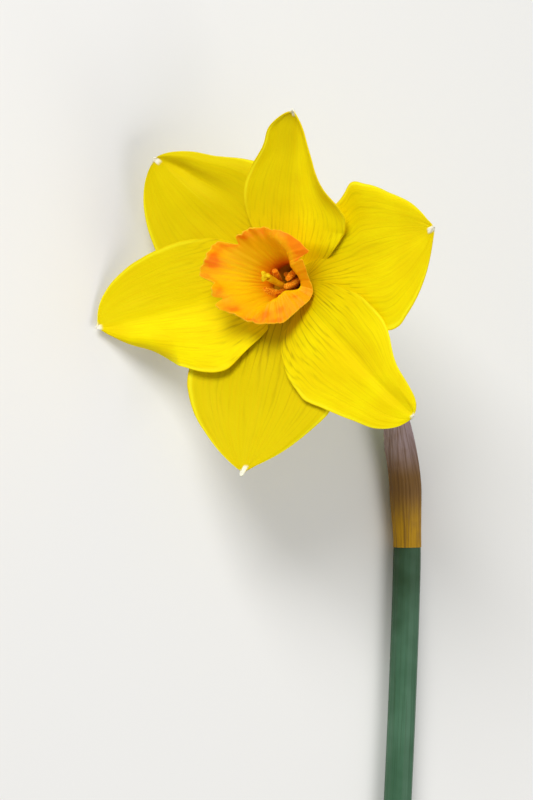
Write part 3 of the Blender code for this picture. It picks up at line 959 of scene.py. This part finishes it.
def hollow_out(mesh, near, finishes):
    """Insets the flat end nearest to a point, and sinks its middle, as a hollow stem's cut end looks."""
    builder = bmesh.new()
    builder.from_mesh(mesh)
    ends = [face for face in builder.faces if len(face.verts) > 50]
    end = min(ends, key=lambda face: (face.calc_center_median() - near).length)
    steps = ((0.12, 0.0), (CUT_RIM, 0.0), (0.35, -0.5), (0.3, -CUT_DEPTH))
    for number, (inward, sink) in enumerate(steps):
        made = bmesh.ops.inset_individual(builder, faces=[end], thickness=inward * MM, depth=sink * MM)
        for face in made["faces"]:
            face.material_index = 0 if number == 0 else len(mesh.materials) + (number > 1)
    end.material_index = len(mesh.materials) + 1
    builder.to_mesh(mesh)
    builder.free()
    for finish in finishes:
        mesh.materials.append(finish)


juicy = {"scale": 1800.0, "roughness": 0.45, "specular": 0.4, "distance": 0.08}
CUT_GREEN = plain_finish("stem cut", seen(196, 208, 150), seen(160, 182, 110), **juicy)
PITH = plain_finish("stem hollow", seen(112, 132, 74), seen(84, 106, 52), **juicy)
hollow_out(made_stem.data, stem_point(1), (CUT_GREEN, PITH))

OVARY_RADIUS = 3.1
ovary_back, ovary_front = rod_ends("ovary")
ovary_path = line(ovary_front + FACING * 0.3 * MM, ovary_back, 14)
ovary_radii = [OVARY_RADIUS * (0.82 - 0.2 * share + 0.3 * math.sin(math.pi * share)) for share in shares(14)]
stalk(
    "ovary", ovary_path, ovary_radii, NECK_GREEN, "ovary",
    ribs=3.0, rib_depth=0.04, sides=60, rings=40,
)

NECK_RADIUS = 1.9
NECK_STRAIGHT = Vector((-1.0, 12.7, 1.0)) * MM
NECK_HANDLES = (10.0, 9.0)


def neck_path():
    bottom = stem_top + Vector((0, 0.2, 0)) * MM
    top = ovary_back + FACING * 0.1 * MM
    level = bottom + NECK_STRAIGHT
    corner = level + NECK_STRAIGHT.normalized() * NECK_HANDLES[0] * MM
    last = top - FACING * 1.8 * MM
    turn_in = top - FACING * (NECK_HANDLES[1] + 0.3) * MM
    return line(bottom, level, 10)[:-1] + bezier(level, corner, turn_in, last, 36) + [top]


NECK_PATH = neck_path()
stalk(
    "neck", NECK_PATH, [NECK_RADIUS] * len(NECK_PATH), NECK_GREEN, "neck",
    ribs=6.0, rib_depth=0.03, sides=48, rings=90,
)

# %% [markdown]
# ## The sheath
#
# The bud came out of a thin sheath that has dried to brown paper. It is wrapped round the neck, open
# along one side and drawn out to a point. Its veins run lengthwise, and it is golden where it joins the
# stem.

# %% The sheath
SHEATH_LENGTH = 36.0
SHEATH_FOOT = 1.6  # how far it comes down over the stem
SHEATH_RADIUS = 3.38
SHEATH_WRAP = math.radians(320)  # how far round it goes at its foot
SHEATH_WALL = 0.18


def sheath_mesh():
    columns, rows = 110, 130
    side, up = np.meshgrid(np.linspace(0, 1, columns), np.linspace(0, 1, rows))
    path = np.array(NECK_PATH)
    reach = np.concatenate([[0], np.linalg.norm(np.diff(path, axis=0), axis=1).cumsum()])
    along = (up * (SHEATH_LENGTH + SHEATH_FOOT) - SHEATH_FOOT) * MM
    middle = np.stack([np.interp(along, reach, path[:, axis]) for axis in range(3)], -1)
    middle[..., 1] += np.minimum(along, 0)
    wrap = SHEATH_WRAP * (1 - 0.9 * up**3)
    wrap = wrap * (1 + 0.03 * np.sin(14 * up) * np.abs(side - 0.5))
    turn = math.radians(90) + wrap * (side - 0.5)
    radius = SHEATH_RADIUS + 0.5 * smooth(up, 0.04, 0.4) - 0.1 * smooth(up, 0.6, 1.0)
    radius = radius + 0.10 * np.sin(turn * 9) * up + 0.16 * np.sin(turn * 3 + up * 11) * up
    radius = radius + 0.05 * np.sin(turn * 26)
    points = middle + (radius * MM)[..., None] * np.stack([np.cos(turn), 0 * turn, np.sin(turn)], -1)
    return mesh_from("spathe", points, side, up, False)


def sheath_finish():
    finish, maker, shader = new_finish("sheath brown", 0.65, 0.25)
    high = attribute(maker, "high")
    around = attribute(maker, "around")
    flow = maker.place(around * 30, high * 2.5)
    lines = noise(maker, flow, 1.0, 3.0)
    patches = clouded(maker, 150.0, 3.0)
    colour = mixed(maker, rise(high, 0.1, 0.4), seen(190, 142, 22), seen(126, 92, 48))
    colour = colour.towards(rise(high, 0.45, 0.72), 164, 142, 142)
    colour = colour.towards(0.55 * rise(lines, 0.45, 0.65), 102, 72, 40)
    colour = colour.towards(0.4 * rise(patches, 0.5, 0.7), 120, 86, 52)
    painted(shader, colour, lines, 0.5, 0.2)
    return finish


made_sheath = sheath_mesh()
made_sheath.materials.append(sheath_finish())
piece("spathe", made_sheath, ["spathe"], wall=SHEATH_WALL)

# %% [markdown]
# ## Stamens, style and stigma
#
# Six threads carry long anthers, rough with orange pollen, and the style in their middle ends in a yellow
# three-lobed stigma. The anthers' ends come from the plain solids. Pollen is a swarm of tiny grains
# scattered on each anther.


# %% Inner finishes
THREAD_YELLOW = plain_finish("thread yellow", seen(232, 182, 22), seen(212, 150, 10), 500.0, 0.5)
ANTHER_BROWN = plain_finish("anther brown", seen(238, 128, 8), seen(214, 102, 2), 900.0, 0.7)
POLLEN_ORANGE = plain_finish("pollen orange", seen(255, 196, 50), seen(250, 158, 20), 3000.0, 0.8)
STIGMA_YELLOW = plain_finish("stigma yellow", seen(242, 206, 26), seen(224, 176, 12), 1500.0, 0.55)


# %% Pollen
POLLEN_INPUTS = {
    "Anther": "Geometry", "Grains per mm2": 12.0, "Grain size": 0.09, "Seed": 0, "Finish": "Material",
}


def pollen_tree():
    tree, maker = new_tree("Pollen", POLLEN_INPUTS, "Grains")
    given = maker.node("NodeGroupInput")
    density = given["Grains per mm2"] / (MM * MM)
    scatter = {"Mesh": given["Anther"], "Density": density, "Seed": given["Seed"]}
    points = maker.node("GeometryNodeDistributePointsOnFaces", scatter)
    ball = {"Radius": given["Grain size"] * MM, "Subdivisions": 1}
    swarm = {
        "Points": points["Points"],
        "Instance": maker.node("GeometryNodeMeshIcoSphere", ball)["Mesh"],
        "Rotation": points["Rotation"],
        "Scale": maker.node("FunctionNodeRandomValue", {2: 0.7, 3: 1.3, "Seed": given["Seed"]})[1],
    }
    maker.end(maker.node("GeometryNodeInstanceOnPoints", swarm)["Instances"], given["Finish"])
    return tree


POLLEN = pollen_tree()
print("the pollen rule has", len(POLLEN.nodes), "nodes")

# %% Stamens
DEEPEST = 5  # the one that sits lowest in the tube, close to its wall
DUSTIEST = 4  # the anther that has opened furthest
NEAR_STYLE = 1  # the style leans this way, so this one's thread makes room for it
ANTHER_RADIUS = 0.72
FILAMENT_RADIUS = 0.34
GRAINS = 14.0  # for each square millimetre
DUSTIEST_GRAINS = 40.0
DUSTIEST_MOVE = FACING * 1.2 + SECOND * 0.3  # millimetres, from where its plain solid lies
OVERLAP = FACING * 0.3 * MM  # how far a thread reaches into its anther


def stamen(number):
    ends = rod_ends(f"anther_{number}")
    if number == DUSTIEST:
        ends = [end + DUSTIEST_MOVE * MM for end in ends]
    middle = (ends[0] + ends[1]) / 2 - BASE
    outwards = (middle - FACING * middle.dot(FACING)).normalized()
    bow = outwards * (0.05 if number == DEEPEST else 0.35) * MM
    bent = [point + bow * math.sin(math.pi * share) for point, share in zip(line(*ends, 10), shares(10))]
    swell = [0.4 + 0.6 * math.sin(math.pi * (0.06 + 0.88 * share)) ** 0.5 for share in shares(10)]
    radii = [ANTHER_RADIUS * part for part in swell]
    ridges = {"ribs": 4.0, "rib_depth": 0.10, "sides": 32, "rings": 30}
    anther = stalk(f"anther_{number}", bent, radii, ANTHER_BROWN, "pollen", **ridges)
    density = DUSTIEST_GRAINS if number == DUSTIEST else GRAINS
    values = {"Seed": number, "Finish": POLLEN_ORANGE, "Grains per mm2": density}
    piece(f"pollen_{number}", mesh_of(POLLEN, values, anther.data.copy()), ())

    points = vertices_of(f"filament_{number}")
    reach = (points - np.array(BASE)) @ np.array(FACING)
    foot = Vector(points[reach < reach.min() + 0.6 * MM].mean(0))
    aside = 0.45 * MM if number == NEAR_STYLE else 0
    knee = foot + FACING * ((ends[0] - foot).dot(FACING) / 2) + outwards * aside
    thread = line(foot, knee, 5)[:-1] + line(knee, ends[0] + OVERLAP, 5)
    radii = [FILAMENT_RADIUS] * len(thread)
    stalk(f"filament_{number}", thread, radii, THREAD_YELLOW, "filament", sides=16, rings=24)


for number in range(1, 7):
    stamen(number)

# %% Style and stigma
STYLE_BEND = (FIRST * 0.5 - SECOND * 1.5) * MM
style_foot, style_end = rod_ends("style")
style_top = style_end + FACING * 0.4 * MM
style_path = [
    style_foot.lerp(style_top, share) + STYLE_BEND * math.sin(math.pi * share**1.5) for share in shares(16)
]
stalk(
    "style", style_path, [0.62] * 12 + [0.66, 0.72, 0.8, 0.9],
    THREAD_YELLOW, "style", ribs=3.0, rib_depth=0.07, sides=36, rings=60,
)


STIGMA_RADIUS = 1.3


def stigma_mesh():
    """A knob with three lobes and a hollow between them."""
    builder = bmesh.new()
    bmesh.ops.create_uvsphere(builder, u_segments=72, v_segments=40, radius=1.0)
    for vertex in builder.verts:
        x, y, z = vertex.co
        turn = math.atan2(y, x)
        spread = STIGMA_RADIUS * (0.74 + 0.34 * math.cos(3 * turn))
        hollow = 0.35 * max(z, 0) * math.exp(-((math.hypot(x, y) / 0.45) ** 2))
        vertex.co = Vector((x * spread, y * spread, z - hollow)) * MM
    mesh = bpy.data.meshes.new("stigma")
    builder.to_mesh(mesh)
    builder.free()
    return mesh


stigma_low, stigma_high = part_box("stigma")
knob = stigma_mesh()
knob.materials.append(STIGMA_YELLOW)
place_in_room(knob, (stigma_low + stigma_high) / 2)
piece("stigma", knob, ["stigma"])

# %% [markdown]
# ## The studio
#
# A pale floor, a soft lamp from the upper left, a weaker and larger one from the lower right, and a dim
# white surround. The camera looks down on the flower from the side that it faces, with the stem running
# down the view.

# %% Floor, lamps and camera
bpy.context.scene.view_settings.view_transform = "Standard"
FLOOR_REACH = 3.0  # metres


def lamp(name, place, size, power):
    """A square lamp turned towards the flower, whose place is in metres from it."""
    data = bpy.data.lights.new(name, "AREA")
    data.size = size
    data.energy = power
    made = new_object(name, data)
    made.location = BASE + Vector(place)
    made.rotation_euler = (-Vector(place)).to_track_quat("-Z", "Y").to_euler()


corners = [(x, y, 0) for x, y in ((-1, -1), (1, -1), (1, 1), (-1, 1))]
floor_mesh = bpy.data.meshes.new("floor")
floor_mesh.from_pydata([Vector(corner) * FLOOR_REACH for corner in corners], [], [(0, 1, 2, 3)])
floor_finish, _, floor_shader = new_finish("floor pale", 0.8, 0.2)
floor_shader.inputs["Base Color"].default_value = seen(236, 235, 232)
floor_mesh.materials.append(floor_finish)
new_object("floor", floor_mesh)
lamp("key lamp", (-0.62, 0.68, 0.72), size=0.5, power=10.5)
lamp("fill lamp", (0.45, -0.6, 0.9), size=0.8, power=6.5)
world = bpy.data.worlds.new("surround")
world.use_nodes = True
surround = world.node_tree.nodes["Background"].inputs
surround["Color"].default_value = (1, 1, 1, 1)
surround["Strength"].default_value = 0.28
bpy.context.scene.world = world

VIEW_TILT = math.radians(26.5)  # how far the view leans from straight down, towards the flower's face
VIEW_PLACE = Vector((-5.5, -27.5, 705.0)) * MM  # to the camera's own right, up and back
camera_data = bpy.data.cameras.new("camera")
camera_data.lens = 135
camera_data.sensor_width = 36
camera = new_object("camera", camera_data)
turned_view = Matrix.Translation(BASE) @ Matrix.Rotation(-VIEW_TILT, 4, "Y")
camera.matrix_world = turned_view @ Matrix.Translation(VIEW_PLACE)
bpy.context.scene.camera = camera
